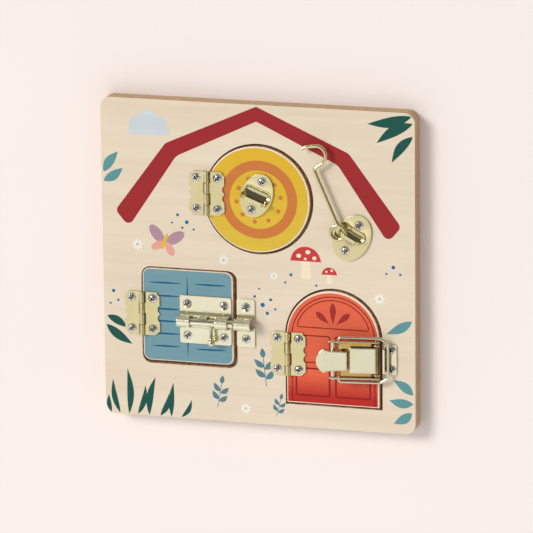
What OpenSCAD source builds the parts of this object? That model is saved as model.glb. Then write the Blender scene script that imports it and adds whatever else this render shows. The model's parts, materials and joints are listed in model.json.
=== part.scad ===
// Wooden locking board for small children: a flat board with three small
// hinged doors, each held shut by a different brass-plated fitting.
// Origin: middle of the board's back face. +X right, +Y top of the picture,
// +Z out of the front face. Millimetres.

/* [Board] */
// Width of the board
board_w = 274; // [272:1:284]
// Height of the board
board_h = 278; // [276:1:288]
// Thickness of the face layer, which the doors sit in
face_t = 10; // [10:1:14]
// Thickness of the back panel, which carries the pictures behind the doors
back_t = 5; // [4:1:8]
// Corner radius of the board
corner_r = 9; // [4:1:16]

/* [Doors] */
// Radius of the round door
round_r = 45.9; // [45.2:0.1:46]
// Mean gap between a door and its opening; each door sits nearer its hinge
door_gap = 1.8; // [1.7:0.1:1.9]
// Gap between the back of a door and the back panel
door_back_gap = 0.5; // [0.4:0.1:1]

/* [Hinges] */
// Height of a hinge along its pin
hinge_h = 38; // [36:1:38]
// Overall width of an open hinge
hinge_w = 30.8; // [30:0.2:31.6]
// Thickness of hinge and plate metal
sheet = 1.2; // [1:0.1:1.3]
// Knuckle outer radius
knuckle_r = 2.1; // [2:0.05:2.1]
// Hinge pin radius
pin_r = 1.0; // [0.8:0.1:1.2]

/* [Screws] */
// Radius of a pan head
head_r = 3.85; // [3.4:0.05:3.9]
// Height of a pan head
head_h = 2.2; // [1.8:0.1:2.2]
// Radius of the shank
shank_r = 1.4; // [1.2:0.1:1.4]
// Length of the shank below the head
shank_l = 8; // [6:0.5:9]

/* [Barrel bolt] */
// Radius of the bolt's rod
rod_r = 3.4; // [3:0.1:3.4]
// Height of the rod's axis above the face
rod_z = 7.9; // [7.6:0.1:8.4]

/* [Hook] */
// Radius of the hook's wire
hook_wire_r = 1.55; // [1.3:0.05:1.6]
// Mean radius of the hook's ring
hook_ring_r = 6.2; // [6:0.1:6.4]
// Angle of the stored hook, turned clockwise from its fastened place
hook_stow = 54; // [52:1:80]

/* [Toggle latch] */
// Tilt of the closed lever
lever_tilt = 10; // [9:0.5:12]
// Height of the lever's pivot above the face
lever_z = 5; // [4.8:0.1:5.5]
// Radius of the wire bail
bail_r = 1.3; // [1.1:0.1:1.35]

/* [Hidden] */
$fn = 64;
e = 0.01;

F = back_t + face_t;                 // height of the front face
door_t = face_t - door_back_gap;     // door thickness, flush with the face
axis_z = knuckle_r + 0.15;           // hinge pin height above the face
brass = [0.87, 0.80, 0.58];
steel = [0.80, 0.80, 0.80];
wood = [0.90, 0.83, 0.71];

// round door: centre of the opening, centre of the door
rc = [1.3, 57.7];
rd = [0.2, 57.4];
// square door: opening left, right, bottom, top
sq = [-102.9, -18.7, -91.5, -6.6];
sq_r = 8;
// arched door: centre of the opening's arch, its half width and bottom, centre of the door's arch
ac = [65.9, -58.3];
ar = 42.3;
ab = -119.2;
ad = [65.2, -58.5];
// hinge pins: x, y of the middle
hr = [-43.6, 60.5];
hs = [-102.3, -47.8];
ha = [26.1, -74.8];
// screws of one hinge leaf, from the pin
hsx = 9.4;
hsy = 13.5;
// barrel bolt
by = -50.6;                          // rod axis
bp = [-69, -23.4, -71.5, -29.7];     // casing plate: left, right, bottom, top
bsx = [-62.2, -30];
bsy = [by - 13.9, by + 13.9];
kp = [-18.7, -2.7, -71.9, -29.6];    // keeper plate
ksx = -10.5;
win = [-57.5, -35.3];                // window in the casing
tab = [-50.3, -42.3];                // tab between the two notches
knob_x = -39.5;
rod_x0 = -58;
rod_x1 = -18.8;
knob_l = 17.7;
knob_ball = 3.1;
stem_r = 1.45;
// eye plates: centre, turn, half length, half width
ea_c = [0.1, 61.0]; ea_turn = -21.3; ea_a = 19.7; ea_b = 13.6;
eb_c = [82.8, 29.5]; eb_turn = -28.6; eb_a = 21.3; eb_b = 15.3;
plate_t = 1.5;
dish_r = 7.5;                          // radius and depth of the hollow
dish_d = 1.15;
wire_z = 6.0;
bar_lo = wire_z + hook_wire_r + 0.35;  // underside of the bars
bar_t = 1.4;
bar_w = 3;
ea_s = [[0, 13.2], [0, -13.2]];
eb_s = [[0, 12.8], [0, -12.8]];
// hook: ring centre and its points when fastened
hq = [71.8, 34.7];
// latch: centre line, pivot
ly = -74;
lp = 104.5;
l_cross = 36.8;                      // cross pin, from the pivot
l_bail = 31.7;                       // bail's pivot, from the pivot
fl_y = 15.8;                         // middle of the lever's side flanges
fl_t = 1.4;
bail_y = 19.3;
bar_x = 114.3;                       // crossbar of the bail
bar_z = 5.2;
cp = [110.4, 121, ly - 13, ly + 13]; // catch plate
csy = [ly - 8.6, ly + 8.6];
csx = 116.6;
base_x = [66, 105.6];
lbs = [[74, ly - 8.5], [74, ly + 8.5], [92, ly - 8.5], [92, ly + 8.5]];

function turn2(p, a) = [p[0] * cos(a) - p[1] * sin(a), p[0] * sin(a) + p[1] * cos(a)];
function ellipse_pts(a, b, n) = [for (i = [0 : n - 1]) [b * cos(i * 360 / n), a * sin(i * 360 / n)]];

module rounded_plate(x0, x1, y0, y1, r, z0, t) {
  translate([0, 0, z0]) union() {
    translate([x0 + r, y0, 0]) cube([x1 - x0 - 2 * r, y1 - y0, t]);
    translate([x0, y0 + r, 0]) cube([x1 - x0, y1 - y0 - 2 * r, t]);
    for (x = [x0 + r, x1 - r], y = [y0 + r, y1 - r]) translate([x, y, 0]) cylinder(h = t, r = r);
  }
}

module arch_block(c, r, bottom, z0, t) {
  translate([c[0], c[1], z0]) union() {
    intersection() {
      cylinder(h = t, r = r);
      translate([-r - 1, 0, -1]) cube([2 * r + 2, r + 1, t + 2]);
    }
    translate([-r, bottom - c[1], 0]) cube([2 * r, c[1] - bottom, t]);
  }
}

// one pan-head screw with a cross recess, its head resting at height z
module screw(p, z, a = 20) {
  dome = (head_r * head_r + (head_h - 0.3) * (head_h - 0.3)) / (2 * (head_h - 0.3));
  translate([p[0], p[1], z]) rotate([0, 0, a]) difference() {
    union() {
      intersection() {
        cylinder(h = head_h + 1, r = head_r);
        translate([0, 0, head_h - dome]) sphere(dome);
        translate([-head_r - 1, -head_r - 1, 0]) cube([2 * head_r + 2, 2 * head_r + 2, head_h + 2]);
      }
      translate([0, 0, -shank_l]) cylinder(h = shank_l + e, r = shank_r);
    }
    translate([-2.35, -0.6, head_h - 1.6]) cube([4.7, 1.2, 3.1]);
    translate([-0.6, -2.35, head_h - 1.6]) cube([1.2, 4.7, 3.1]);
  }
}

module pilots(ps, z) {
  for (p = ps) translate([p[0], p[1], z - shank_l - 0.4]) cylinder(h = shank_l + 3, r = shank_r + 0.05);
}

// screws of a hinge leaf: s = -1 on the board, 1 on the door
function leaf_screws(h, s) = [for (d = [-hsy, hsy]) [h[0] + s * hsx, h[1] + d]];

// one leaf of a butterfly hinge, 4 knuckles, s = -1 on the board, 1 on the door
module leaf(h, s) {
  k = hinge_h / 4;
  bore = s < 0 ? pin_r + 0.01 : pin_r + 0.06;
  mine = s < 0 ? [3, 1] : [2, 0];
  other = s < 0 ? [2, 0] : [3, 1];
  kg = 0.18;                           // half the gap between two knuckles
  slot = 1.0;                          // between the plate and the other leaf's knuckle
  w = hinge_w / 2;
  translate([h[0], h[1] - hinge_h / 2, F]) difference() {
    union() {
      difference() {
        mirror([s < 0 ? 1 : 0, 0, 0]) linear_extrude(height = sheet)
          polygon([[0, 0.05], [w - 4.2, 0.05], [w, 3.6], [w, hinge_h - 3.6], [w - 4.2, hinge_h - 0.05], [0, hinge_h - 0.05]]);
        for (d = [-3.9, 3.9]) translate([s * (w + 2.2), hinge_h / 2 + d, -1]) cylinder(h = 4, r = 4);
        for (i = other) translate([-w - 1, i * k - kg, -1]) cube([2 * w + 2, k + 2 * kg, 5]);
      }
      // the plate beside the other leaf's knuckles
      for (i = other) translate([s > 0 ? knuckle_r + slot : -w + 2.2, max(0.05, i * k - kg - 0.02), 0])
        cube([w - knuckle_r - slot - 2.2, min(k + 2 * kg + 0.04, hinge_h - 0.05 - max(0.05, i * k - kg - 0.02)), sheet]);
      for (i = mine) translate([0, i * k + kg, axis_z]) rotate([-90, 0, 0]) cylinder(h = k - 2 * kg, r = knuckle_r);
      for (i = mine) translate([s > 0 ? 0 : -knuckle_r, i * k + kg, 0]) cube([knuckle_r, k - 2 * kg, axis_z - 0.2]);
      edge_pieces(s, w, k, other, kg);
    }
    translate([0, -1, axis_z]) rotate([-90, 0, 0]) cylinder(h = hinge_h + 2, r = bore);
    for (d = [-hsy, hsy]) translate([s * hsx, hinge_h / 2 + d, -1]) cylinder(h = 4, r = shank_r + 0.3);
    // clear of the other leaf's knuckles
    for (i = other) translate([0, i * k - kg, axis_z]) rotate([-90, 0, 0]) cylinder(h = k + 2 * kg, r = knuckle_r + 0.2);
  }
}

// the shaped outer edge of the plate beside the other leaf's knuckles
module edge_pieces(s, w, k, other, kg) {
  intersection() {
    difference() {
      mirror([s < 0 ? 1 : 0, 0, 0]) linear_extrude(height = sheet)
        polygon([[w - 6, 0.05], [w - 4.2, 0.05], [w, 3.6], [w, hinge_h - 3.6], [w - 4.2, hinge_h - 0.05], [w - 6, hinge_h - 0.05]]);
      for (d = [-3.9, 3.9]) translate([s * (w + 2.2), hinge_h / 2 + d, -1]) cylinder(h = 4, r = 4);
    }
    for (i = other) translate([-w - 1, i * k - kg - 0.02, -1]) cube([2 * w + 2, k + 2 * kg + 0.04, 5]);
  }
}

module pin(h) {
  translate([h[0], h[1] - hinge_h / 2 - 0.1, F + axis_z]) rotate([-90, 0, 0]) cylinder(h = hinge_h + 0.2, r = pin_r);
}

module back_panel() {
  color(wood) rounded_plate(-board_w / 2, board_w / 2, -board_h / 2, board_h / 2, corner_r, 0, back_t);
}

module openings(z0, t) {
  translate([rc[0], rc[1], z0]) cylinder(h = t, r = round_r + door_gap, $fn = 96);
  rounded_plate(sq[0], sq[1], sq[2], sq[3], sq_r, z0, t);
  arch_block(ac, ar, ab, z0, t);
}

function board_screw_list() = concat(
  leaf_screws(hr, -1), leaf_screws(hs, -1), leaf_screws(ha, -1),
  [for (y = bsy) [ksx, y]],
  [for (q = eb_s) eb_c + turn2(q, eb_turn)],
  [for (y = csy) [csx, y]]);

module face_panel() {
  color(wood) difference() {
    rounded_plate(-board_w / 2, board_w / 2, -board_h / 2, board_h / 2, corner_r, back_t, face_t);
    openings(back_t - 1, face_t + 2);
    pilots(board_screw_list(), F + sheet);
  }
}

module round_hinge_fixed_leaf() { color(brass) leaf(hr, -1); }
module square_hinge_fixed_leaf() { color(brass) leaf(hs, -1); }
module arched_hinge_fixed_leaf() { color(brass) leaf(ha, -1); }
module round_hinge_door_leaf() { color(brass) leaf(hr, 1); }
module square_hinge_door_leaf() { color(brass) leaf(hs, 1); }
module arched_hinge_door_leaf() { color(brass) leaf(ha, 1); }
module round_hinge_pin() { color(brass) pin(hr); }
module square_hinge_pin() { color(brass) pin(hs); }
module arched_hinge_pin() { color(brass) pin(ha); }

module board_screws() {
  color(steel) union() {
    for (i = [0, 1]) {
      screw(leaf_screws(hr, -1)[i], F + sheet, 10 + 25 * i);
      screw(leaf_screws(hs, -1)[i], F + sheet, 40 - 25 * i);
      screw(leaf_screws(ha, -1)[i], F + sheet, 5 + 35 * i);
      screw([ksx, bsy[i]], F + sheet, 12 + 20 * i);
      screw(eb_c + turn2(eb_s[i], eb_turn), F + plate_t, 25 - 30 * i);
      screw([csx, csy[i]], F + sheet, 15 + 40 * i);
    }
  }
}

module round_door() {
  color([0.87, 0.74, 0.28]) difference() {
    translate([rd[0], rd[1], F - door_t]) cylinder(h = door_t, r = round_r, $fn = 96);
    pilots(leaf_screws(hr, 1), F + sheet);
    pilots([for (q = ea_s) ea_c + turn2(q, ea_turn)], F + plate_t);
  }
}

module round_door_screws() {
  color(steel) union() {
    for (i = [0, 1]) {
      screw(leaf_screws(hr, 1)[i], F + sheet, 30 + 20 * i);
      screw(ea_c + turn2(ea_s[i], ea_turn), F + plate_t, 60 - 30 * i);
    }
  }
}

module square_door() {
  g = door_gap;
  color([0.49, 0.65, 0.69]) difference() {
    rounded_plate(sq[0] + g - 1, sq[1] - g - 1.4, sq[2] + g + 0.7, sq[3] - g + 0.7, sq_r - 1.4, F - door_t, door_t);
    pilots(leaf_screws(hs, 1), F + sheet);
    pilots([for (x = bsx, y = bsy) [x, y]], F + sheet);
  }
}

module square_door_screws() {
  color(steel) union() {
    for (i = [0, 1]) {
      screw(leaf_screws(hs, 1)[i], F + sheet, 22 + 30 * i);
      for (j = [0, 1]) screw([bsx[j], bsy[i]], F + sheet, 12 + 17 * i + 23 * j);
    }
  }
}

module arched_door() {
  g = door_gap;
  color([0.88, 0.40, 0.28]) difference() {
    arch_block(ad, ar - g, ab + g - 0.3, F - door_t, door_t);
    pilots(leaf_screws(ha, 1), F + sheet);
    pilots(lbs, F + sheet);
  }
}

module arched_door_screws() {
  color(steel) union() {
    for (i = [0, 1]) screw(leaf_screws(ha, 1)[i], F + sheet, 8 + 30 * i);
    for (i = [0 : 3]) screw(lbs[i], F + sheet, 20 * i);
  }
}

// outline of the pressed tube over the rod: y from the rod axis, z from the face
module tube_shape(r, skirt) {
  union() {
    translate([0, rod_z]) circle(r);
    polygon([[-skirt, 0], [skirt, 0], [skirt - 0.5, 1.6], [r + 0.05, 4.4], [r, rod_z], [-r, rod_z], [-r - 0.05, 4.4], [-skirt + 0.5, 1.6]]);
  }
}

module tube(x0, x1, r, skirt) {
  translate([x0, by, F]) rotate([90, 0, 90]) linear_extrude(height = x1 - x0) tube_shape(r, skirt);
}

module bolt_casing() {
  color(brass) difference() {
    union() {
      rounded_plate(bp[0], bp[1], bp[2], bp[3], 2, F, sheet);
      tube(bp[0] + 0.2, bp[1] - 1, 5.2, 7.4);
    }
    // hollow of the pressed sheet, below the rod
    translate([bp[0] - 1, by - 3.6, F - 1]) cube([60, 7.2, rod_z - 1.9]);
    translate([bp[0] - 1, by, F + rod_z]) rotate([0, 90, 0]) cylinder(h = 60, r = rod_r + 0.08);
    // window over the rod
    translate([win[0], by - 3.7, F + rod_z]) cube([win[1] - win[0], 7.4, 10]);
    // notches that hold the knob's stem
    translate([win[0], by - 12, F + rod_z - stem_r - 0.25]) cube([tab[0] - win[0], 24, 12]);
    translate([tab[1], by - 12, F + rod_z - stem_r - 0.25]) cube([win[1] - tab[1], 24, 12]);
    // the lower side is open between the notches
    translate([win[0], by - 12, F + rod_z - stem_r - 0.25]) cube([win[1] - win[0], 12, 12]);
    for (x = bsx, y = bsy) translate([x, y, F - 1]) cylinder(h = 4, r = shank_r + 0.3);
  }
}

module bolt_rod() {
  color(brass) union() {
    translate([rod_x0, by, F + rod_z]) rotate([0, 90, 0]) cylinder(h = rod_x1 - rod_x0 - 1.4, r = rod_r);
    translate([rod_x1 - 1.41, by, F + rod_z]) rotate([0, 90, 0]) cylinder(h = 1.41, r1 = rod_r, r2 = rod_r - 1);
  }
}

module bolt_knob() {
  color(brass) difference() {
    union() {
      translate([knob_x, by, F + rod_z]) rotate([90, 0, 0]) cylinder(h = knob_l, r = stem_r);
      translate([knob_x, by - knob_l, F + rod_z]) sphere(knob_ball);
      translate([knob_x, by - knob_l + 3.9, F + rod_z]) rotate([90, 0, 0]) cylinder(h = 1.4, r1 = stem_r, r2 = 2.3);
    }
    translate([knob_x - 6, by, F + rod_z]) rotate([0, 90, 0]) cylinder(h = 12, r = rod_r + 0.05);
  }
}

module bolt_keeper() {
  color(brass) difference() {
    union() {
      rounded_plate(kp[0], kp[1], kp[2], kp[3], 2, F, sheet);
      tube(kp[0] + 0.3, kp[1] - 1.6, 5.2, 7.4);
    }
    translate([kp[0] - 1, by - 5.18 + sheet, F - 1]) cube([30, 10.36 - 2 * sheet, rod_z + 1]);
    translate([kp[0] - 1, by, F + rod_z]) rotate([0, 90, 0]) cylinder(h = 30, r = 5.2 - sheet);
    for (y = bsy) translate([ksx, y, F - 1]) cylinder(h = 4, r = shank_r + 0.3);
  }
}

// stamped oval plate with a rounded hollow and a raised bar that a wire goes under
module eye(c, turn, a, b, bar_v, u0, u1, dish_v, s0, s1, holes) {
  w = 1.5;
  ro = 5;
  ri = 3.6;
  translate([c[0], c[1], F]) rotate([0, 0, turn]) difference() {
    union() {
      difference() {
        linear_extrude(height = plate_t) polygon(ellipse_pts(a, b, 72));
        translate([0, dish_v, plate_t + dish_r - dish_d]) union() {
          translate([s0, 0, 0]) rotate([0, 90, 0]) cylinder(h = s1 - s0, r = dish_r);
          translate([s0, 0, 0]) sphere(dish_r);
          translate([s1, 0, 0]) sphere(dish_r);
        }
      }
      // bar
      translate([0, bar_v + bar_w / 2, 0]) rotate([90, 0, 0]) linear_extrude(height = bar_w) difference() {
        union() {
          translate([u0, 0]) square([u1 - u0, bar_lo + bar_t - ro]);
          translate([u0 + ro, 0]) square([u1 - u0 - 2 * ro, bar_lo + bar_t]);
          translate([u0 + ro, bar_lo + bar_t - ro]) circle(ro);
          translate([u1 - ro, bar_lo + bar_t - ro]) circle(ro);
        }
        union() {
          translate([u0 + w, -1]) square([u1 - u0 - 2 * w, bar_lo + 1 - ri]);
          translate([u0 + w + ri, 0]) square([u1 - u0 - 2 * w - 2 * ri, bar_lo]);
          translate([u0 + w + ri, bar_lo - ri]) circle(ri);
          translate([u1 - w - ri, bar_lo - ri]) circle(ri);
        }
      }
    }
    for (q = holes) translate([q[0], q[1], -1]) cylinder(h = 4, r = shank_r + 0.3);
  }
}

module eye_plate() {
  color(brass) eye(ea_c, ea_turn, ea_a, ea_b, -3.2, -12.6, 11.6, 3.2, -7.8, 7.8, ea_s);
}

module hook_plate() {
  color(brass) eye(eb_c, eb_turn, eb_a, eb_b, 0.2, -12.4, 8.6, 4.1, -4.4, 6, eb_s);
}

// a bent wire is drawn piece by piece, each from a place [x, y, heading]
function ahead(s, l) = [s[0] + l * cos(s[2]), s[1] + l * sin(s[2]), s[2]];
function turned(s, rb, da) = let (g = sign(da), cx = s[0] - g * rb * sin(s[2]), cy = s[1] + g * rb * cos(s[2]), h = s[2] + da)
  [cx + g * rb * sin(h), cy - g * rb * cos(h), h];

module straight(s, l, r) {
  translate([s[0], s[1], 0]) rotate([0, 0, s[2]]) rotate([0, 90, 0]) translate([0, 0, -0.05]) cylinder(h = l + 0.1, r = r - 0.01);
}

module bend(s, rb, da, r) {
  g = sign(da);
  translate([s[0] - g * rb * sin(s[2]), s[1] + g * rb * cos(s[2]), 0])
    rotate([0, 0, g > 0 ? s[2] - 90 : s[2] + 90 + da]) rotate_extrude(angle = abs(da), $fn = 64) translate([rb, 0]) circle(r, $fn = 32);
}

// hook, drawn fastened and then turned about its ring to where it is stored
module cabin_hook() {
  r = hook_wire_r;
  a = [66.6, 38.6, 167.7];
  b = ahead(a, 49.3);
  c = turned(b, 2.2, -77.7);
  d = ahead(c, 6.9);
  f = turned(d, 8.3, 152);
  g = ahead(f, 7.6);
  h = turned(g, 2.5, 24);
  i = ahead(h, 3.6);
  color(brass) translate([hq[0], hq[1], F + wire_z]) rotate([0, 0, -hook_stow]) translate([-hq[0], -hq[1], 0]) union() {
    translate([hq[0], hq[1], 0]) rotate_extrude($fn = 64) translate([hook_ring_r, 0]) circle(r + 0.06, $fn = 32);
    straight(a, 49.3, r);
    bend(b, 2.2, -77.7, r);
    straight(c, 6.9, r);
    bend(d, 8.3, 152, r);
    straight(f, 7.6, r);
    bend(g, 2.5, 24, r);
    straight(h, 3.6, r);
    translate([i[0], i[1], 0]) rotate([0, 0, i[2]]) rotate([0, 90, 0]) cylinder(h = 0.8, r1 = r, r2 = r * 0.6);
  }
}

module latch_base() {
  color(brass) difference() {
    union() {
      rounded_plate(base_x[0], base_x[1], ly - 13.7, ly + 13.7, 2, F, sheet);
      for (s = [-1, 1]) translate([lp, ly + s * 12.9 + 0.7, F]) rotate([90, 0, 0]) union() {
        translate([0, lever_z, 0]) cylinder(h = 1.4, r = 3);
        translate([-3, 0, 0]) cube([4.1, lever_z, 1.4]);
      }
    }
    translate([lp, ly + 20, F + lever_z]) rotate([90, 0, 0]) cylinder(h = 40, r = 1.51);
    for (q = lbs) translate([q[0], q[1], F - 1]) cylinder(h = 4, r = shank_r + 0.3);
  }
}

module latch_pivot_pin() {
  color(brass) translate([lp, ly, F + lever_z]) rotate([90, 0, 0]) union() {
    translate([0, 0, -fl_y - 1]) cylinder(h = 2 * fl_y + 2, r = 1.5);
    for (s = [-1, 1]) translate([0, 0, s * (fl_y + 1.1) - 0.35]) cylinder(h = 0.7, r = 2);
  }
}

// half width of the lever's nose and neck at a distance s from the neck's root
function nose_w(s) = s < 13.5 ? 8.1 + 0.045 * s : s < 19.8 ? 8.7 + 1.8 * (s - 13.5) * (s - 13.5) / 39.7
  : sqrt(max(0, 11.7 * 11.7 - (s - 14.5) * (s - 14.5)));
function nose_pts(i) = concat(
  [for (s = [0 : 1.1 : 25.3]) [-24.4 - s, nose_w(s) - i]],
  [[-24.4 - 26.2 + i, 2.2], [-24.4 - 26.2 + i, -2.2]],
  [for (s = [25.3 : -1.1 : 0]) [-24.4 - s, -(nose_w(s) - i)]]);

module lever_frame() {
  translate([lp, ly, F + lever_z]) rotate([0, lever_tilt, 0]) children();
}

module latch_lever() {
  color(brass) lever_frame() difference() {
    union() {
      // side flanges
      for (s = [-1, 1]) translate([0, s * fl_y + fl_t / 2, 0]) rotate([90, 0, 0]) union() {
        cylinder(h = fl_t, r = 3);
        linear_extrude(height = fl_t) polygon([[0, -2.2], [-34, -2.6], [-39.8, -2], [-40.6, 0], [-39.8, 2.4], [-34, 2.6], [-30, 2.8], [0, 3]]);
      }
      // floor between the flanges
      translate([-33, -fl_y, -0.6]) cube([29, 2 * fl_y, sheet]);
      // raised box
      translate([-22.4, -11.1, 0]) cube([1.2, 22.2, 3.6]);
      for (s = [-1, 1]) translate([-22.4, s * 10.5 - 0.6, 0]) cube([18.4, 1.2, 3.6]);
      translate([-22.4, -11.1, 2.5]) cube([22.2, 22.2, 1.1]);
      // neck and nose, with turned-down sides
      translate([0, 0, 4.4]) linear_extrude(height = 1.2) polygon(nose_pts(0));
      translate([0, 0, 2.6]) linear_extrude(height = 2) difference() {
        polygon(nose_pts(0));
        polygon(nose_pts(1.1));
        translate([-25.5, -7]) square([3, 14]);
      }
      translate([-25.6, -8.1, 0]) cube([1.2, 16.2, 5]);
    }
    translate([0, 25, 0]) rotate([90, 0, 0]) cylinder(h = 50, r = 1.56);
    translate([-l_cross, 25, 0]) rotate([90, 0, 0]) cylinder(h = 50, r = 1.61);
    translate([-l_bail, 25, 0]) rotate([90, 0, 0]) cylinder(h = 50, r = bail_r + 0.06);
  }
}

module latch_cross_pin() {
  color(brass) lever_frame() translate([-l_cross, 0, 0]) rotate([90, 0, 0]) union() {
    translate([0, 0, -fl_y - 0.8]) cylinder(h = 2 * fl_y + 1.6, r = 1.6);
    for (s = [-1, 1]) translate([0, 0, s * (fl_y + 1.1) - 0.35]) cylinder(h = 0.7, r = 2);
    translate([0, 0, -fl_y + 1]) cylinder(h = 2 * fl_y - 2, r = 1.9);
  }
}

// wire bail, flat in one plane from its pivots to its crossbar
module latch_bail() {
  ax = lp - l_bail * cos(lever_tilt);
  az = lever_z + l_bail * sin(lever_tilt);
  reach = norm([bar_x - ax, az - bar_z]);
  l1 = bail_y - 2 - (fl_y - 1.6);
  l2 = reach - 5 - 5 * cos(30);
  a = [0, -(fl_y - 1.6), -90];
  b = ahead(a, l1);
  c = turned(b, 2, 90);
  d = ahead(c, l2);
  f = turned(d, 3, 30);
  g = ahead(f, 5);
  h = turned(g, 3, 60);
  color(brass) translate([ax, ly, F + az]) rotate([0, atan2(az - bar_z, bar_x - ax), 0]) union() {
    for (s = [0, 1]) mirror([0, s, 0]) {
      straight(a, l1, bail_r);
      bend(b, 2, 90, bail_r);
      straight(c, l2, bail_r);
      bend(d, 3, 30, bail_r);
      straight(f, 5, bail_r);
      bend(g, 3, 60, bail_r);
    }
    straight(h, -2 * h[1], bail_r);
  }
}

module latch_catch() {
  color(brass) difference() {
    union() {
      rounded_plate(cp[0], cp[1], cp[2], cp[3], 1.6, F, sheet);
      translate([cp[0] + 0.2, ly - 10.5, F]) cube([1.2, 21, 8]);
      translate([cp[0] + 0.2, ly - 10.5, F + 7.4]) cube([1.8, 21, 1.1]);
    }
    for (y = csy) translate([csx, y, F - 1]) cylinder(h = 4, r = shank_r + 0.3);
  }
}

back_panel();
face_panel();
round_hinge_fixed_leaf();
square_hinge_fixed_leaf();
arched_hinge_fixed_leaf();
round_hinge_pin();
square_hinge_pin();
arched_hinge_pin();
board_screws();
bolt_keeper();
hook_plate();
latch_catch();
round_door();
round_hinge_door_leaf();
eye_plate();
round_door_screws();
square_door();
square_hinge_door_leaf();
bolt_casing();
square_door_screws();
bolt_rod();
bolt_knob();
arched_door();
arched_hinge_door_leaf();
latch_base();
latch_pivot_pin();
arched_door_screws();
latch_lever();
latch_cross_pin();
latch_bail();
cabin_hook();
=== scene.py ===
import json
import math

import bmesh
import bpy
from mathutils import Matrix, Vector
from mathutils.geometry import tessellate_polygon


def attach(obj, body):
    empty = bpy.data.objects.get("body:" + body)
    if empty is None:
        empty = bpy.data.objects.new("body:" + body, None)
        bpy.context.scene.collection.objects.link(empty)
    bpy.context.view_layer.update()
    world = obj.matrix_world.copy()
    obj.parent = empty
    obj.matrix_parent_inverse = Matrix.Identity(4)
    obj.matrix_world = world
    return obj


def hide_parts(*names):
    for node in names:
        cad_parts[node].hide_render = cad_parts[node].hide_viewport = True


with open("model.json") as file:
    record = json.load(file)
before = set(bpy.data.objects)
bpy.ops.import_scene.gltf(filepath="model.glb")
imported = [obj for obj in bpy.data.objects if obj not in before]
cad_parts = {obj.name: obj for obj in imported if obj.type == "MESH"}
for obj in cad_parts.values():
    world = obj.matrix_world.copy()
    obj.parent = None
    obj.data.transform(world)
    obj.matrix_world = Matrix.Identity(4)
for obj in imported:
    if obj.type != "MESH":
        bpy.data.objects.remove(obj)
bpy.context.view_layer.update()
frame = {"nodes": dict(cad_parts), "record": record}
scene = bpy.context.scene
scene.view_settings.view_transform = "Standard"
scene.view_settings.look = "None"

F = 15.0      # height of the board's front face, mm
B = 5.0       # height of the back panel's front face, mm


# ---------------------------------------------------------------- shapes in mm
def lin(r, g, b):
    """sRGB 0-255 to a linear colour."""
    def f(c):
        c /= 255.0
        return c / 12.92 if c <= 0.04045 else ((c + 0.055) / 1.055) ** 2.4
    return (f(r), f(g), f(b), 1.0)


def area2(loop):
    return sum(loop[i - 1][0] * loop[i][1] - loop[i][0] * loop[i - 1][1] for i in range(len(loop)))


def ccw(loop):
    return loop if area2(loop) > 0 else loop[::-1]


def cw(loop):
    return loop if area2(loop) < 0 else loop[::-1]


def circle(cx, cy, r, n=64):
    return [(cx + r * math.cos(2 * math.pi * i / n), cy + r * math.sin(2 * math.pi * i / n)) for i in range(n)]


def ellipse(cx, cy, a, b, turn=0.0, n=48):
    t = math.radians(turn)
    out = []
    for i in range(n):
        x, y = a * math.cos(2 * math.pi * i / n), b * math.sin(2 * math.pi * i / n)
        out.append((cx + x * math.cos(t) - y * math.sin(t), cy + x * math.sin(t) + y * math.cos(t)))
    return out


def fillet(points, n=8):
    """A polygon of (x, y, radius) with its corners rounded."""
    out = []
    m = len(points)
    for i in range(m):
        p = Vector(points[i][:2])
        a = Vector(points[i - 1][:2]) - p
        b = Vector(points[(i + 1) % m][:2]) - p
        r = points[i][2]
        la, lb = a.length, b.length
        a.normalize(), b.normalize()
        ang = math.acos(max(-1, min(1, a.dot(b))))
        if r <= 0 or ang > math.pi - 1e-3:
            out.append((p.x, p.y))
            continue
        d = min(r / math.tan(ang / 2), la * 0.49, lb * 0.49)
        r = d * math.tan(ang / 2)
        c = p + (a + b).normalized() * (r / math.sin(ang / 2))
        s, e = p + a * d, p + b * d
        a0 = math.atan2(s.y - c.y, s.x - c.x)
        a1 = math.atan2(e.y - c.y, e.x - c.x)
        da = (a1 - a0 + math.pi) % (2 * math.pi) - math.pi
        for k in range(n + 1):
            t = a0 + da * k / n
            out.append((c.x + r * math.cos(t), c.y + r * math.sin(t)))
    return out


def round_rect(x0, x1, y0, y1, r, n=12):
    return fillet([(x0, y0, r), (x1, y0, r), (x1, y1, r), (x0, y1, r)], n)


def arch(cx, cy, r, bottom, n=64):
    top = [(cx + r * math.cos(math.pi * i / n), cy + r * math.sin(math.pi * i / n)) for i in range(n + 1)]
    return [(cx + r, bottom)] + top + [(cx - r, bottom)]


def drop(base, tip, width, n=20):
    """A petal: pointed at base, round at tip."""
    b, t = Vector(base), Vector(tip)
    d = t - b
    length = d.length
    d.normalize()
    s = Vector((-d.y, d.x))
    left, right = [], []
    for i in range(1, n):
        u = i / n
        w = width / 2 * math.sin(math.pi * u ** 1.7) ** 0.75
        left.append(tuple(b + d * length * u + s * w))
        right.append(tuple(b + d * length * u - s * w))
    return [tuple(b)] + right + [tuple(t)] + left[::-1]


def leaf(base, tip, width, bend=0.0, n=18):
    """A leaf pointed at both ends, its middle line bent sideways by bend."""
    b, t = Vector(base), Vector(tip)
    d = t - b
    length = d.length
    d.normalize()
    s = Vector((-d.y, d.x))
    left, right = [], []
    for i in range(1, n):
        u = i / n
        mid = b + d * length * u + s * bend * math.sin(math.pi * u)
        w = width / 2 * math.sin(math.pi * u ** 0.85)
        left.append(tuple(mid + s * w))
        right.append(tuple(mid - s * w))
    return [tuple(b)] + right + [tuple(t)] + left[::-1]


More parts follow.
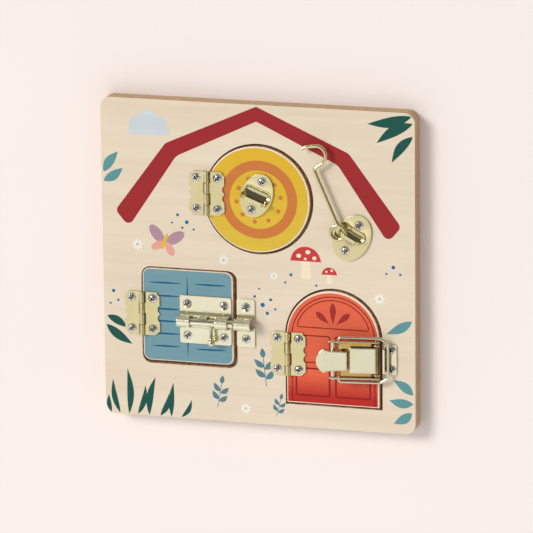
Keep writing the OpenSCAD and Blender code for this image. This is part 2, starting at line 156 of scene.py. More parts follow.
def stroke(points, width, taper=False):
    """A line of the given width along points, with its ends pointed if taper."""
    n = len(points)
    left, right = [], []
    for i in range(n):
        p = Vector(points[i])
        a = Vector(points[max(0, i - 1)])
        c = Vector(points[min(n - 1, i + 1)])
        d = (c - a).normalized()
        s = Vector((-d.y, d.x))
        w = width / 2
        if taper:
            w *= max(0.04, math.sin(math.pi * (i + 0.001) / (n - 0.998)) ** 0.6)
        left.append(tuple(p + s * w))
        right.append(tuple(p - s * w))
    return right + left[::-1]


def line(p, q, n=12):
    return [(p[0] + (q[0] - p[0]) * i / n, p[1] + (q[1] - p[1]) * i / n) for i in range(n + 1)]


def arc(cx, cy, r, a0, a1, n=48):
    return [(cx + r * math.cos(math.radians(a0 + (a1 - a0) * i / n)), cy + r * math.sin(math.radians(a0 + (a1 - a0) * i / n))) for i in range(n + 1)]


def frame_loop(outer, width):
    """A closed line: the loop and its inward offset as a hole. Its corners are rounder than its width."""
    o = ccw(outer)
    return (o, [offset(o, width)])


def frame_rect(x0, x1, y0, y1, w):
    """A rectangle drawn as a line of width w."""
    return (round_rect(x0, x1, y0, y1, w + 0.5, 4), [round_rect(x0 + w, x1 - w, y0 + w, y1 - w, 0.5, 4)])


def offset(loop, d):
    """Moves each point of a loop to its left by d."""
    n = len(loop)
    out = []
    for i in range(n):
        a, b, c = Vector(loop[i - 1]), Vector(loop[i]), Vector(loop[(i + 1) % n])
        u, w = (b - a), (c - b)
        if u.length < 1e-9 or w.length < 1e-9:
            out.append(tuple(b))
            continue
        u.normalize(), w.normalize()
        nu, nw = Vector((-u.y, u.x)), Vector((-w.y, w.x))
        m = nu + nw
        if m.length < 1e-6:
            out.append(tuple(b + nu * d))
            continue
        m.normalize()
        out.append(tuple(b + m * (d / max(0.4, m.dot(nu)))))
    return out


# -------------------------------------------------------------------- meshes
def finish_mesh(name, bm, mats, body, nodes=(), smooth=True, weighted=False):
    bmesh.ops.recalc_face_normals(bm, faces=bm.faces)
    me = bpy.data.meshes.new(name)
    bm.to_mesh(me)
    bm.free()
    for m in mats:
        me.materials.append(m)
    if smooth:
        me.polygons.foreach_set("use_smooth", [True] * len(me.polygons))
        me.set_sharp_from_angle(angle=math.radians(38))
    o = bpy.data.objects.new(name, me)
    scene.collection.objects.link(o)
    if weighted:
        w = o.modifiers.new("flat_faces", "WEIGHTED_NORMAL")
        w.keep_sharp = True
        w.weight = 90
    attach(o, body)
    if nodes:
        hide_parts(*nodes)
    return o


def add_solid(bm, outer, holes, profile):
    """A closed solid: each loop follows profile, a list of (inset, z) from top to bottom, in mm."""
    loops = [ccw(outer)] + [cw(h) for h in holes]
    rings = []
    for lp in loops:
        rs = []
        for inset, z in profile:
            pts = offset(lp, inset) if abs(inset) > 1e-9 else lp
            rs.append([bm.verts.new((p[0] / 1000, p[1] / 1000, z / 1000)) for p in pts])
        rings.append(rs)
    for rs in rings:
        for a, b in zip(rs[:-1], rs[1:]):
            n = len(a)
            for i in range(n):
                j = (i + 1) % n
                bm.faces.new((a[i], b[i], b[j], a[j]))
    for which in (0, -1):
        flat = [v for rs in rings for v in rs[which]]
        tris = tessellate_polygon([[Vector((v.co.x, v.co.y, 0)) for v in rs[which]] for rs in rings])
        for t in tris:
            try:
                bm.faces.new([flat[k] for k in t])
            except ValueError:
                pass


def eased(z0, z1, r, steps=3):
    """Profile of an edge eased with radius r on both faces."""
    p = []
    for k in range(steps + 1):
        t = math.pi / 2 * k / steps
        p.append((r * (1 - math.sin(t)), z1 - r * (1 - math.cos(t))))
    for k in range(steps + 1):
        t = math.pi / 2 * k / steps
        p.append((r * (1 - math.cos(t)), z0 + r * (1 - math.sin(t))))
    return p


def panel(name, outer, holes, z0, z1, r, mats, body, nodes):
    bm = bmesh.new()
    add_solid(bm, outer, holes, eased(z0, z1, r))
    return finish_mesh(name, bm, mats, body, nodes, weighted=True)


def prints(name, shapes, layer, mat, body, base=F):
    """Printed shapes: very thin closed sheets just above the surface. A shape is a loop or (loop, holes)."""
    bm = bmesh.new()
    z = base + 0.02 + 0.03 * layer
    for s in shapes:
        outer, holes = s if isinstance(s, tuple) else (s, [])
        add_solid(bm, outer, holes, [(0, z + 0.02), (0, z)])
    return finish_mesh(name, bm, [mat], body, smooth=False)


# ----------------------------------------------------------------- materials
def node_mat(name):
    m = bpy.data.materials.new(name)
    m.use_nodes = True
    nt = m.node_tree
    return m, nt, nt.nodes["Principled BSDF"]


def streaks(nt, sx, sy, sz, detail=4.0, rough=0.6):
    """Noise stretched along X, in the piece's own coordinates."""
    tc = nt.nodes.new("ShaderNodeTexCoord")
    mp = nt.nodes.new("ShaderNodeMapping")
    mp.inputs["Scale"].default_value = (sx, sy, sz)
    no = nt.nodes.new("ShaderNodeTexNoise")
    no.inputs["Scale"].default_value = 1.0
    no.inputs["Detail"].default_value = detail
    no.inputs["Roughness"].default_value = rough
    nt.links.new(tc.outputs["Object"], mp.inputs["Vector"])
    nt.links.new(mp.outputs["Vector"], no.inputs["Vector"])
    return no.outputs["Fac"]


def ramp(nt, fac, stops):
    r = nt.nodes.new("ShaderNodeValToRGB")
    e = r.color_ramp.elements
    e[0].position, e[0].color = stops[0]
    e[1].position, e[1].color = stops[-1]
    for pos, col in stops[1:-1]:
        x = e.new(pos)
        x.color = col
    nt.links.new(fac, r.inputs["Fac"])
    return r.outputs["Color"]


def mix(nt, kind, fac, a, b):
    m = nt.nodes.new("ShaderNodeMix")
    m.data_type = "RGBA"
    m.blend_type = kind
    for s, v in ((m.inputs[0], fac), (m.inputs[6], a), (m.inputs[7], b)):
        if isinstance(v, (int, float, tuple)):
            s.default_value = v
        else:
            nt.links.new(v, s)
    return m.outputs[2]


def bump(nt, bsdf, height, distance, strength):
    b = nt.nodes.new("ShaderNodeBump")
    b.inputs["Strength"].default_value = strength
    b.inputs["Distance"].default_value = distance
    nt.links.new(height, b.inputs["Height"])
    nt.links.new(b.outputs["Normal"], bsdf.inputs["Normal"])
    return b


def shade(v):
    return (v, v, v, 1.0)


def math_node(nt, op, a, b=None):
    m = nt.nodes.new("ShaderNodeMath")
    m.operation = op
    for s, v in ((m.inputs[0], a), (m.inputs[1], b)):
        if v is None:
            continue
        if isinstance(v, (int, float)):
            s.default_value = v
        else:
            nt.links.new(v, s)
    return m.outputs[0]


def wood_mat(name, light, dark, edge_light, edge_dark, period, half=(0.0, 0.0)):
    """Pale veneer with long fine grain on the flat faces, plies on the edges and brown
    laser-cut walls within half (x, y) of the middle."""
    m, nt, p = node_mat(name)
    broad = streaks(nt, 5, 110, 40, 3.0, 0.55)
    fine = streaks(nt, 26, 1300, 200, 5.0, 0.65)
    cloud = streaks(nt, 14, 14, 14, 2.0, 0.5)
    fibre = streaks(nt, 90, 3200, 400, 2.0, 0.5)
    col = ramp(nt, broad, [(0.30, dark), (0.66, light)])
    col = mix(nt, "MULTIPLY", 1.0, col, ramp(nt, fine, [(0.32, shade(0.962)), (0.56, shade(1.0))]))
    col = mix(nt, "MULTIPLY", 1.0, col, ramp(nt, fibre, [(0.24, shade(0.95)), (0.36, shade(1.0))]))
    col = mix(nt, "MULTIPLY", 1.0, col, ramp(nt, cloud, [(0.30, shade(0.97)), (0.70, shade(1.0))]))
    # plies, seen where the surface doesn't face up or down
    tc = nt.nodes.new("ShaderNodeTexCoord")
    sep = nt.nodes.new("ShaderNodeSeparateXYZ")
    nt.links.new(tc.outputs["Object"], sep.inputs["Vector"])
    mul = nt.nodes.new("ShaderNodeMath")
    mul.operation = "MULTIPLY"
    mul.inputs[1].default_value = 1000.0 / period
    nt.links.new(sep.outputs["Z"], mul.inputs[0])
    fr = nt.nodes.new("ShaderNodeMath")
    fr.operation = "PINGPONG"
    fr.inputs[1].default_value = 1.0
    nt.links.new(mul.outputs[0], fr.inputs[0])
    ply = ramp(nt, fr.outputs[0], [(0.38, edge_dark), (0.52, edge_light)])
    ply = mix(nt, "MULTIPLY", 1.0, ply, ramp(nt, streaks(nt, 260, 260, 900, 3.0), [(0.3, shade(0.86)), (0.65, shade(1.0))]))
    if half[0]:
        burnt = ramp(nt, streaks(nt, 340, 340, 90, 3.0), [(0.3, lin(160, 118, 86)), (0.68, lin(230, 192, 152))])
        inside = math_node(nt, "MULTIPLY", math_node(nt, "LESS_THAN", math_node(nt, "ABSOLUTE", sep.outputs["X"]), half[0]),
                           math_node(nt, "LESS_THAN", math_node(nt, "ABSOLUTE", sep.outputs["Y"]), half[1]))
        ply = mix(nt, "MIX", inside, ply, burnt)
    nsep = nt.nodes.new("ShaderNodeSeparateXYZ")
    nt.links.new(tc.outputs["Normal"], nsep.inputs["Vector"])
    ab = nt.nodes.new("ShaderNodeMath")
    ab.operation = "ABSOLUTE"
    nt.links.new(nsep.outputs["Z"], ab.inputs[0])
    side = nt.nodes.new("ShaderNodeMapRange")
    side.inputs["From Min"].default_value = 0.35
    side.inputs["From Max"].default_value = 0.75
    nt.links.new(ab.outputs[0], side.inputs["Value"])
    col = mix(nt, "MIX", side.outputs["Result"], ply, col)
    nt.links.new(col, p.inputs["Base Color"])
    p.inputs["Roughness"].default_value = 0.52
    p.inputs["Specular IOR Level"].default_value = 0.35
    bump(nt, p, fine, 0.00006, 0.35)
    return m


def print_mat(name, rgb, end=None, y0=0.0, y1=1.0, strength=0.05):
    """Ink on wood: one colour, or a slow change from rgb at height y0 to end at y1 (mm) that paints shadow over the
    ink, with the grain showing through.
    """
    m, nt, p = node_mat(name)
    a = lin(*rgb)
    fine = streaks(nt, 22, 1500, 200, 4.0, 0.6)
    broad = streaks(nt, 5, 120, 40, 3.0, 0.55)
    if end is None:
        cloud = streaks(nt, 30, 30, 30, 2.0, 0.5)
        col = ramp(nt, cloud, [(0.3, tuple(c * 0.955 for c in a[:3]) + (1.0,)), (0.7, a)])
    else:
        tc = nt.nodes.new("ShaderNodeTexCoord")
        sep = nt.nodes.new("ShaderNodeSeparateXYZ")
        nt.links.new(tc.outputs["Object"], sep.inputs["Vector"])
        mr = nt.nodes.new("ShaderNodeMapRange")
        mr.inputs["From Min"].default_value = y0 / 1000
        mr.inputs["From Max"].default_value = y1 / 1000
        nt.links.new(sep.outputs["Y"], mr.inputs["Value"])
        col = ramp(nt, mr.outputs["Result"], [(0.0, a), (1.0, lin(*end))])
    col = mix(nt, "MULTIPLY", 1.0, col, ramp(nt, fine, [(0.30, shade(1 - strength)), (0.55, shade(1.0))]))
    col = mix(nt, "MULTIPLY", 1.0, col, ramp(nt, broad, [(0.34, shade(1 - strength)), (0.62, shade(1.0))]))
    nt.links.new(col, p.inputs["Base Color"])
    p.inputs["Roughness"].default_value = 0.55
    p.inputs["Specular IOR Level"].default_value = 0.22
    bump(nt, p, fine, 0.00005, 0.3)
    return m


def metal_mat(name, bright, deep, rough, edge, reach, hollow, grain=(220, 0.00003), shut=0.25, floor_at=None):
    """Polished plating: colour and roughness drift slowly, a very fine unevenness of the given scale and depth,
    edges rolled over as on pressed sheet, painted shade in hollows and gaps. floor_at, a direction and a height along
    it, is the floor of a channel, which is painted duller and deeper in colour than what stands out of it, as shade and
    reflection of the channel's walls."""
    m, nt, p = node_mat(name)
    drift = streaks(nt, 60, 60, 60, 3.0, 0.5)
    col = ramp(nt, drift, [(0.30, deep), (0.65, bright)])
    p.inputs["Metallic"].default_value = 1.0
    tiny = streaks(nt, 700, 700, 700, 4.0, 0.6)
    mr = nt.nodes.new("ShaderNodeMapRange")
    mr.inputs["To Min"].default_value = rough * 0.75
    mr.inputs["To Max"].default_value = rough * 1.35
    nt.links.new(tiny, mr.inputs["Value"])
    nt.links.new(mr.outputs["Result"], p.inputs["Roughness"])
    # painted shade: hollows, slots and the corners under other pieces turn darker toward the hollow colour, the more
    # closed in they are
    hidden = nt.nodes.new("ShaderNodeAmbientOcclusion")
    hidden.samples = 6
    hidden.inputs["Distance"].default_value = reach
    col = mix(nt, "MULTIPLY", 1.0, col, ramp(nt, hidden.outputs["AO"], [(shut, hollow), (max(0.80, shut + 0.25), shade(1.0))]))
    # painted shade and reflection: the floor of the channel turns a deeper, duller gold
    if floor_at:
        tc = nt.nodes.new("ShaderNodeTexCoord")
        up = nt.nodes.new("ShaderNodeVectorMath")
        up.operation = "DOT_PRODUCT"
        up.inputs[1].default_value = floor_at[0]
        nt.links.new(tc.outputs["Object"], up.inputs[0])
        rise = nt.nodes.new("ShaderNodeMapRange")
        rise.inputs["From Min"].default_value = floor_at[1] + 0.0009
        rise.inputs["From Max"].default_value = floor_at[1] + 0.0026
        nt.links.new(up.outputs["Value"], rise.inputs["Value"])
        col = mix(nt, "MULTIPLY", 1.0, col, ramp(nt, rise.outputs["Result"], [(0.0, (0.78, 0.53, 0.215, 1)), (1.0, shade(1.0))]))
    nt.links.new(col, p.inputs["Base Color"])
    rolled = nt.nodes.new("ShaderNodeBevel")
    rolled.samples = 6
    rolled.inputs["Radius"].default_value = edge
    b = bump(nt, p, streaks(nt, grain[0], grain[0], grain[0], 2.0, 0.5), grain[1], 0.12)
    nt.links.new(rolled.outputs["Normal"], b.inputs["Normal"])
    return m


birch = wood_mat("birch_face", lin(229, 215, 193), lin(224, 208, 184), lin(214, 184, 142), lin(164, 122, 82), 1.7, (0.130, 0.132))
door_wood = wood_mat("birch_door", lin(238, 226, 206), lin(232, 217, 194), lin(226, 202, 166), lin(178, 138, 98), 1.6, (0.130, 0.132))
# the last colour given to each metal is the painted shade in its hollows, gaps and screw recesses
brass = metal_mat("pale_brass", (0.83, 0.79, 0.61, 1), (0.80, 0.745, 0.535, 1), 0.10, 0.0004, 0.0022, (0.42, 0.33, 0.17, 1))
warm_brass = metal_mat("warm_brass", (0.735, 0.67, 0.39, 1), (0.70, 0.615, 0.33, 1), 0.11, 0.0004, 0.0022, (0.60, 0.45, 0.22, 1))
lever_brass = metal_mat("lever_brass", (0.815, 0.78, 0.58, 1), (0.785, 0.735, 0.51, 1), 0.10, 0.0016, 0.0030, (0.36, 0.26, 0.11, 1),
                        floor_at=((math.sin(math.radians(10)), 0.0, math.cos(math.radians(10))), 0.03784))
# a copy of the brass in painted shade and reflection, darker and deeper gold throughout, for the parts under the lever
painted_shade_brass = metal_mat("painted_shade_brass", (0.68, 0.55, 0.27, 1), (0.60, 0.47, 0.20, 1), 0.15, 0.0004, 0.0030, (0.34, 0.22, 0.08, 1))
cast_brass = metal_mat("cast_brass", (0.85, 0.83, 0.64, 1), (0.82, 0.77, 0.54, 1), 0.22, 0.0005, 0.0022, (0.56, 0.42, 0.20, 1), (600, 0.00005))
steel = metal_mat("nickel_screw", (0.83, 0.82, 0.81, 1), (0.72, 0.71, 0.70, 1), 0.10, 0.0003, 0.0024, (0.03, 0.027, 0.025, 1), shut=0.60)

# the yellow turns a little darker towards the top of the door: painted shadow
yellow = print_mat("ink_yellow_painted_shadow", (220, 188, 62), (222, 176, 40), 10, 108)
orange = print_mat("ink_orange", (205, 122, 58))
blue = print_mat("ink_blue", (114, 156, 168))
blue_line = print_mat("ink_blue_line", (10, 88, 134))
# the red turns darker towards the bottom of the door: painted shadow
red_door = print_mat("ink_red_door_painted_shadow", (185, 38, 28), (226, 101, 68), -110.5, -91.5)
red_line = print_mat("ink_red_line", (142, 20, 32))
red_petal = print_mat("ink_red_petal", (164, 42, 46))
roof_red = print_mat("ink_roof_red", (160, 36, 40))
green = print_mat("ink_green", (16, 84, 74))
teal = print_mat("ink_teal", (92, 150, 156))
sprig = print_mat("ink_sprig", (86, 130, 142))
dot_blue = print_mat("ink_dot_blue", (22, 112, 162))
white = print_mat("ink_white", (240, 240, 238))
gold = print_mat("ink_gold", (226, 184, 62))
lilac = print_mat("ink_lilac", (178, 142, 158))
pink = print_mat("ink_pink", (228, 164, 148))
cap_red = print_mat("ink_cap_red", (200, 60, 60))
cream = print_mat("ink_cream", (244, 230, 202))
navy = print_mat("ink_navy", (44, 68, 92))
cloud_blue = print_mat("ink_cloud", (206, 216, 222))

# ------------------------------------------------------------ board and doors
hole_round = circle(1.3, 57.7, 47.7, 128)
hole_square = round_rect(-102.9, -18.7, -91.5, -6.6, 8)
hole_arch = arch(65.9, -58.3, 42.3, -119.2, 96)
outline = round_rect(-137, 137, -139, 139, 9, 16)

panel("face_board", outline, [hole_round, hole_square, hole_arch], 5.0, 15.0, 0.45, [birch], "board", ["face_panel"])
panel("back_board", outline, [], 0.0, 5.0, 0.4, [birch], "board", ["back_panel"])
panel("round_door_disc", circle(0.2, 57.4, 45.9, 128), [], 5.5, 15.0, 0.8, [door_wood], "round_door_body", ["round_door"])
panel("square_door_slab", round_rect(-102.1, -21.9, -89.0, -7.7, 6.6), [], 5.5, 15.0, 0.8, [door_wood], "square_door_body", ["square_door"])
panel("arched_door_slab", arch(65.2, -58.5, 40.5, -117.7, 96), [], 5.5, 15.0, 0.8, [door_wood], "arched_door_body", ["arched_door"])

# -------------------------------------------------------------- door pictures
prints("round_print_base", [circle(-0.1, 57.2, 44.6, 128)], 0, yellow, "round_door_body")
prints("round_print_ring", [(circle(1.3, 57.4, 33.7, 128), [circle(1.3, 57.4, 25.2, 96)])]
       + [circle(1.3 + 19.5 * math.cos(math.radians(8 + 36 * k)), 57.4 + 19.5 * math.sin(math.radians(8 + 36 * k)), 1.9, 32) for k in range(10)],
       1, orange, "round_door_body")

prints("square_print_base", [round_rect(-101.2, -23.3, -88.1, -8.6, 5.6)], 0, blue, "square_door_body")
planks = [stroke(line((-62.5, -13), (-62.5, -84), 30), 1.7, True)]
for k, y in enumerate((-20.5, -32.0, -43.5, -54.2, -65.2, -76.2)):
    jog = 0.6 * (-1) ** k
    planks.append(stroke(line((-96.5 + 2 * (k % 2), y + 0.2), (-67.5 - 1.5 * (k % 2), y + 0.5), 20), 1.5, True))
    planks.append(stroke(line((-56.5 + 1.2 * (k % 2), y + jog), (-27.5 - 1.6 * (k % 2), y + jog + 0.3), 20), 1.5, True))
prints("square_print_planks", planks, 1, blue_line, "square_door_body")

prints("arched_print_base", [arch(64.85, -59.1, 39.25, -116.7, 96)], 0, red_door, "arched_door_body")
fan = fillet([(97.7, -51.2, 2.6)] + [(p[0], p[1], 0) for p in arc(65.3, -59.0, 33.3, 24, 156, 64)] + [(32.9, -51.2, 2.6)], 6)
lines = [
    stroke(line((101.6, -116.2), (101.6, -59.2), 8)[:-1] + arc(65.5, -59.2, 36.1, 0, 180, 96) + line((29.4, -59.2), (29.4, -116.2), 8)[1:], 0.9),
    frame_loop(fan, 0.9),
    frame_rect(32.2, 62.8, -82.0, -57.5, 1.0),
    frame_rect(66.9, 98.3, -82.0, -57.5, 1.0),
    frame_rect(32.2, 62.8, -111.2, -86.0, 1.5),
    frame_rect(66.9, 98.3, -111.2, -86.0, 1.5),
]
prints("arched_print_lines", lines, 1, red_line, "arched_door_body")
prints("arched_print_petals", [drop((65.3, -47.8), (65.3, -28.2), 5.4), drop((62.6, -47.4), (50.6, -36.8), 5.2), drop((68.0, -47.4), (80.0, -36.8), 5.2)],
       1, red_petal, "arched_door_body")

# ------------------------------------------------- generic pictures, board face
roof = fillet([(0, 137.4, 3), (80, 101.6, 10), (125.0, 41.0, 5), (113.4, 27.0, 5), (70.6, 91.0, 14), (0, 124.6, 3),
               (-70.6, 91.0, 14), (-113.4, 27.0, 5), (-125.0, 41.0, 5), (-80, 101.6, 10)], 8)
prints("board_print_roof", [roof], 0, roof_red, "board")


def flower(cx, cy, r, turn=0.0):
    return [drop((cx, cy), (cx + r * math.cos(math.radians(turn + 45 * k)), cy + r * math.sin(math.radians(turn + 45 * k))), r * 0.40, 10) for k in range(8)]


flowers = [(-106, 12, 5.0, 10), (-30, 3, 4.6, 25), (106, -22, 4.8, 5), (-12, -126, 4.8, 15), (14, -8, 3.6, 0)]
fl, eyes = [], []
for i, (x, y, r, t) in enumerate(flowers):
    # petals of one flower overlap in its middle, so they alternate between two layers
    petals = flower(x, y, r, t)
    fl.append((petals[0::2], petals[1::2]))
    eyes.append(circle(x, y, r * 0.22, 24))
prints("board_print_petals_a", [p for a, b in fl for p in a], 0, white, "board")
prints("board_print_petals_b", [p for a, b in fl for p in b], 1, white, "board")
prints("board_print_flower_eyes", eyes, 2, gold, "board")

spots = [(4, -34, 1.9), (11, -29, 1.3), (-3, -27, 1.2), (8, -41, 1.5), (15, -37, 1.0), (1, -20, 0.9),
         (-62, 34, 1.7), (-70, 40, 1.3), (-56, 28, 1.0), (-66, 29, 1.1), (-75, 33, 0.9),
         (29, -6, 1.4), (24, -13, 1.0), (51, -14, 1.0),
         (-128, -30, 1.5), (-124, -38, 1.1), (-131, -41, 1.0), (118, 6, 1.6), (124, 0, 1.1), (112, 0, 1.0)]
prints("board_print_spots", [circle(*s, 28) for s in spots], 0, dot_blue, "board")

# grass in the corner at lower left, leaves at the sides
blades = [(-124, -138, -130, -108, 5, 2), (-116, -138, -117, -98, 6, -2), (-108, -138, -101, -112, 5, -2), (-98, -138, -92, -104, 6, 2),
          (-88, -138, -80, -118, 5, -2), (-78, -138, -76, -108, 5, 1), (-69, -138, -60, -122, 4, -2), (-132, -138, -134, -122, 4, 1)]
for layer in (0, 1):
    prints("board_print_grass_%d" % layer, [leaf((a, b), (c, d), w, s) for a, b, c, d, w, s in blades[layer::2]], layer, green, "board")
corner = [((134, 136), (96, 128), 9, 2), ((135, 130), (104, 112), 9, -2), ((135, 119), (117, 96), 8, -2),
          ((-134, -52), (-116, -62), 7, 1), ((-135, -60), (-112, -76), 8, -1)]
for layer in (0, 1):
    prints("board_print_leaves_dark_%d" % layer, [leaf(b, t, w, s) for b, t, w, s in corner[layer::2]], layer, green, "board")
side = [((134, -40), (112, -52), 8, 1), ((135, -104), (118, -92), 8, -1), ((135, -112), (114, -110), 8, 1), ((134, -120), (118, -130), 8, 1),
        ((-135, 66), (-118, 78), 8, -1), ((-135, 74), (-122, 92), 8, 1)]
for layer in (0, 1):
    prints("board_print_leaves_teal_%d" % layer, [leaf(b, t, w, s) for b, t, w, s in side[layer::2]], layer, teal, "board")


def twig(x, y, turn, s):
    """A small upright twig with paired leaves."""
    t = math.radians(turn)

    def at(u, v):
        return (x + s * (u * math.cos(t) - v * math.sin(t)), y + s * (u * math.sin(t) + v * math.cos(t)))
    out = [leaf(at(0.4, v), at(side_ * 8.5, v + 8), 5.4 * s, side_ * -0.8) for v, side_ in ((1, 1), (3, -1), (10, 1), (12, -1))]
    return out + [leaf(at(0, 20.5), at(0, 30), 5 * s, 0)], stroke([at(0, -6 + 2.6 * k) for k in range(11)], 0.7 * s)


tw, stems = [], []
for x, y, t, s in ((6, -100, 6, 0.95), (-36, -122, -10, 0.8), (16, -128, -14, 0.6)):
    a, b = twig(x, y, t, s)
    tw += a
    stems.append(b)
prints("board_print_twig_leaves", tw, 1, sprig, "board")
prints("board_print_twig_stems", stems, 0, sprig, "board")

# a pair of toadstools
caps = [fillet([(28, 6.5, 4)] + [(p[0], p[1], 0) for p in arc(42, 6.0, 13.2, 175, 5, 20)] + [(56, 6.5, 4)], 5),
        fillet([(55.5, -4.0, 1.5)] + [(p[0], p[1], 0) for p in arc(62.5, -4.2, 6.6, 172, 8, 14)] + [(69.5, -4.0, 1.5)], 4)]
stalks = [fillet([(38.4, 8, 0.5), (37.4, -9, 3), (47.0, -9, 3), (45.6, 8, 0.5)], 5), fillet([(60.8, -3, 0.3), (60.2, -11.5, 1.4), (65.4, -11.5, 1.4), (64.4, -3, 0.3)], 4)]
prints("board_print_stalks", stalks, 0, cream, "board")
prints("board_print_caps", caps, 1, cap_red, "board")
prints("board_print_cap_dots", [ellipse(36, 11.0, 2.1, 1.8), ellipse(44, 14.6, 2.2, 1.8), ellipse(49.6, 9.6, 1.8, 1.6), ellipse(41.6, 8.6, 1.3, 1.1),
                                circle(60, -1.4, 1.0, 20), circle(64.6, -0.2, 1.1, 20)], 2, cream, "board")

# a butterfly seen from above
bx, by_ = -82.0, 16.0
prints("board_print_wings_a", [ellipse(bx - 6.6, by_ + 6.4, 9.2, 4.6, 128), ellipse(bx + 9.6, by_ + 3.6, 9.2, 4.6, 32)], 0, lilac, "board")
prints("board_print_wings_b", [ellipse(bx - 5.8, by_ - 3.6, 6.4, 3.4, 205), ellipse(bx + 4.6, by_ - 6.4, 6.4, 3.4, -62)], 1, pink, "board")
prints("board_print_butterfly_body", [ellipse(bx, by_, 7.6, 1.7, 68)], 2, gold, "board")

# clouds
puffs_a = [circle(-104, 116, 8, 40), circle(-85, 117, 7, 40), (round_rect(-113, -76, 108, 114.6, 3.2))]
prints("board_print_cloud_a", [puffs_a[0], puffs_a[1]], 0, cloud_blue, "board")
prints("board_print_cloud_b", [circle(-95, 119.6, 9.4, 48)], 1, cloud_blue, "board")
prints("board_print_cloud_c", [puffs_a[2]], 2, cloud_blue, "board")

# ------------------------------------------- generic pictures behind the doors
prints("hidden_apple", [ellipse(-6, 55, 15, 17, 14), ], 0, cap_red, "board", base=B)
prints("hidden_apple_side", [ellipse(9, 55, 15, 17, -14)], 1, cap_red, "board", base=B)
prints("hidden_apple_stalk", [stroke([(1.5, 68), (2.2, 74), (4.6, 80)], 1.8)], 2, navy, "board", base=B)
prints("hidden_apple_leaf", [leaf((3.4, 75), (19, 83), 8, 1)], 3, green, "board", base=B)
prints("hidden_pot", [fillet([(-74, -84, 3), (-48, -84, 3), (-43, -60, 1), (-79, -60, 1)], 4)], 0, orange, "board", base=B)
prints("hidden_pot_rim", [round_rect(-81, -41, -62, -55, 2)], 1, roof_red, "board", base=B)
prints("hidden_plant", [leaf((-61, -55), (-88, -30), 11, 4), leaf((-61, -55), (-34, -30), 11, -4), leaf((-60, -55), (-76, -14), 10, 2),
                        leaf((-62, -55), (-46, -14), 10, -2)], 0, green, "board", base=B)
prints("hidden_balloon", [ellipse(66, -56, 24, 27, 0, 72)], 0, blue, "board", base=B)
prints("hidden_balloon_bands", [ellipse(66, -56, 9, 26.4, 0, 56)], 1, gold, "board", base=B)
prints("hidden_balloon_basket", [fillet([(59, -104, 1.5), (73, -104, 1.5), (75, -94, 0.6), (57, -94, 0.6)], 3)], 0, orange, "board", base=B)
prints("hidden_balloon_ropes", [stroke([(52, -78), (58, -94)], 0.8), stroke([(80, -78), (74, -94)], 0.8)], 0, navy, "board", base=B)

# ------------------------------------------------------------------ metal parts
slots = {s["node"]: s["material_slot"] for s in frame["record"].get("subparts", [])}
for name, o in frame["nodes"].items():
    if o.hide_render:
        continue
    o.data.materials.clear()
    warm = name in ("eye_plate", "hook_plate", "cabin_hook") or "hinge" in name
    if slots.get(name) == "screw_steel":
        metal = steel
    elif name in ("bolt_casing", "bolt_keeper"):
        metal = cast_brass
    elif name == "latch_lever":
        metal = lever_brass
    # the latch base and its pivot pin take the brass in painted shade
    elif name in ("latch_base", "latch_pivot_pin"):
        metal = painted_shade_brass
    else:
        metal = warm_brass if warm else brass
    o.data.materials.append(metal)
    o.data.polygons.foreach_set("use_smooth", [True] * len(o.data.polygons))
    weld = o.modifiers.new("weld", "WELD")
    weld.merge_threshold = 0.000002
    split = o.modifiers.new("edges", "EDGE_SPLIT")
    split.split_angle = math.radians(32)

# --------------------------------------------------------- floor, light, camera
fm, fnt, fp = node_mat("pale_floor")
fcol = ramp(fnt, streaks(fnt, 3, 3, 3, 2.0), [(0.3, lin(243, 234, 231)), (0.7, lin(245, 236, 233))])
fnt.links.new(fcol, fp.inputs["Base Color"])
fp.inputs["Roughness"].default_value = 0.9
fp.inputs["Specular IOR Level"].default_value = 0.1
bm = bmesh.new()
bmesh.ops.create_grid(bm, x_segments=1, y_segments=1, size=6)
fme = bpy.data.meshes.new("floor")
bm.to_mesh(fme)
bm.free()
fme.materials.append(fm)
floor = bpy.data.objects.new("floor", fme)
floor.location = (0, 0, -0.0003)
scene.collection.objects.link(floor)

# a studio that is bright on the near left and dark on the far right, which the metal mirrors
world = bpy.data.worlds.new("studio")
scene.world = world
world.use_nodes = True
wnt = world.node_tree
bg = wnt.nodes["Background"]
sky = wnt.nodes.new("ShaderNodeTexCoord")
side_dir = wnt.nodes.new("ShaderNodeVectorMath")
side_dir.operation = "DOT_PRODUCT"
side_dir.inputs[1].default_value = tuple(Vector((0.14, 0.95, 0.28)).normalized())
wnt.links.new(sky.outputs["Generated"], side_dir.inputs[0])
dim = wnt.nodes.new("ShaderNodeMapRange")
dim.interpolation_type = "SMOOTHSTEP"
dim.inputs["From Min"].default_value = -0.45
dim.inputs["From Max"].default_value = 0.40
dim.inputs["To Min"].default_value = 0.62
dim.inputs["To Max"].default_value = 0.11
wnt.links.new(side_dir.outputs["Value"], dim.inputs["Value"])
bg.inputs["Color"].default_value = (1.0, 0.975, 0.94, 1)
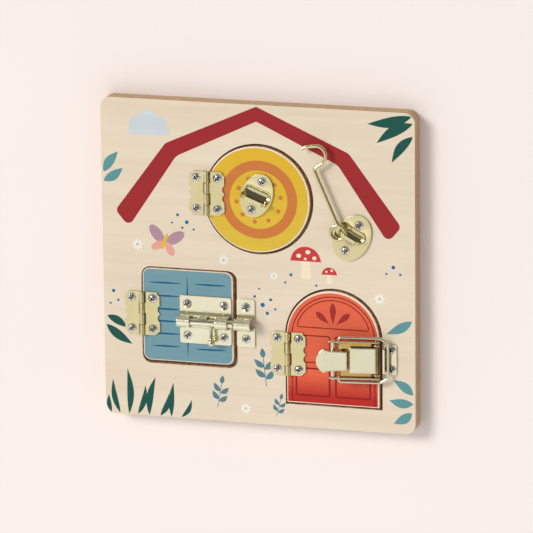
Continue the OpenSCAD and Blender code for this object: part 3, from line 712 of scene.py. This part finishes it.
# paler walls all round at the height of the board
sky_sep = wnt.nodes.new("ShaderNodeSeparateXYZ")
wnt.links.new(sky.outputs["Generated"], sky_sep.inputs["Vector"])
wall = wnt.nodes.new("ShaderNodeMapRange")
wall.interpolation_type = "SMOOTHSTEP"
wall.inputs["From Min"].default_value = 0.32
wall.inputs["From Max"].default_value = 0.80
wall.inputs["To Min"].default_value = 0.28
wall.inputs["To Max"].default_value = 0.0
wnt.links.new(sky_sep.outputs["Z"], wall.inputs["Value"])
wnt.links.new(math_node(wnt, "ADD", dim.outputs["Result"], wall.outputs["Result"]), bg.inputs["Strength"])


def softbox(name, direction, distance, size, radiance, colour=(1, 1, 1)):
    """A square area light that looks at the board and shows in the metal with the given radiance."""
    light = bpy.data.lights.new(name, "AREA")
    light.shape = "RECTANGLE"
    light.size, light.size_y = size
    light.energy = radiance * math.pi * size[0] * size[1]
    light.color = colour
    o = bpy.data.objects.new(name, light)
    d = Vector(direction).normalized()
    o.location = d * distance
    o.rotation_mode = "QUATERNION"
    o.rotation_quaternion = (-d).to_track_quat("-Z", "Y")
    o.visible_camera = False
    scene.collection.objects.link(o)
    return o


def far_light(name, direction, level, angle, glossy, colour=(1, 1, 1)):
    """An even light from far away: level is what it adds to a white floor."""
    light = bpy.data.lights.new(name, "SUN")
    d = Vector(direction).normalized()
    light.energy = level * math.pi / d.z
    light.angle = math.radians(angle)
    light.color = colour
    o = bpy.data.objects.new(name, light)
    o.rotation_mode = "QUATERNION"
    o.rotation_quaternion = (-d).to_track_quat("-Z", "Y")
    o.visible_glossy = glossy
    scene.collection.objects.link(o)
    return o


far_light("key", (-0.66, 0.46, 0.80), 0.42, 24, True, (1.0, 0.985, 0.955))
far_light("fill", (0.10, -0.10, 1.0), 0.165, 120, False, (1.0, 0.985, 0.97))
softbox("card", (-0.30, -0.29, 0.90), 1.8, (1.5, 1.5), 0.60, (1.0, 0.99, 0.975))

cam = bpy.data.cameras.new("camera")
cam.sensor_width = 36.0
cam.lens = 325.833
cam.clip_start, cam.clip_end = 0.1, 20.0
camera = bpy.data.objects.new("camera", cam)
scene.collection.objects.link(camera)
m = Matrix((( 0.960310, -0.062078, 0.271941, 1.11164),
            (-0.010236, 0.966422, 0.256758, 1.04216),
            (-0.278749, -0.249350, 0.927428, 3.77993),
            (0.0, 0.0, 0.0, 1.0)))
camera.matrix_world = m
scene.camera = camera
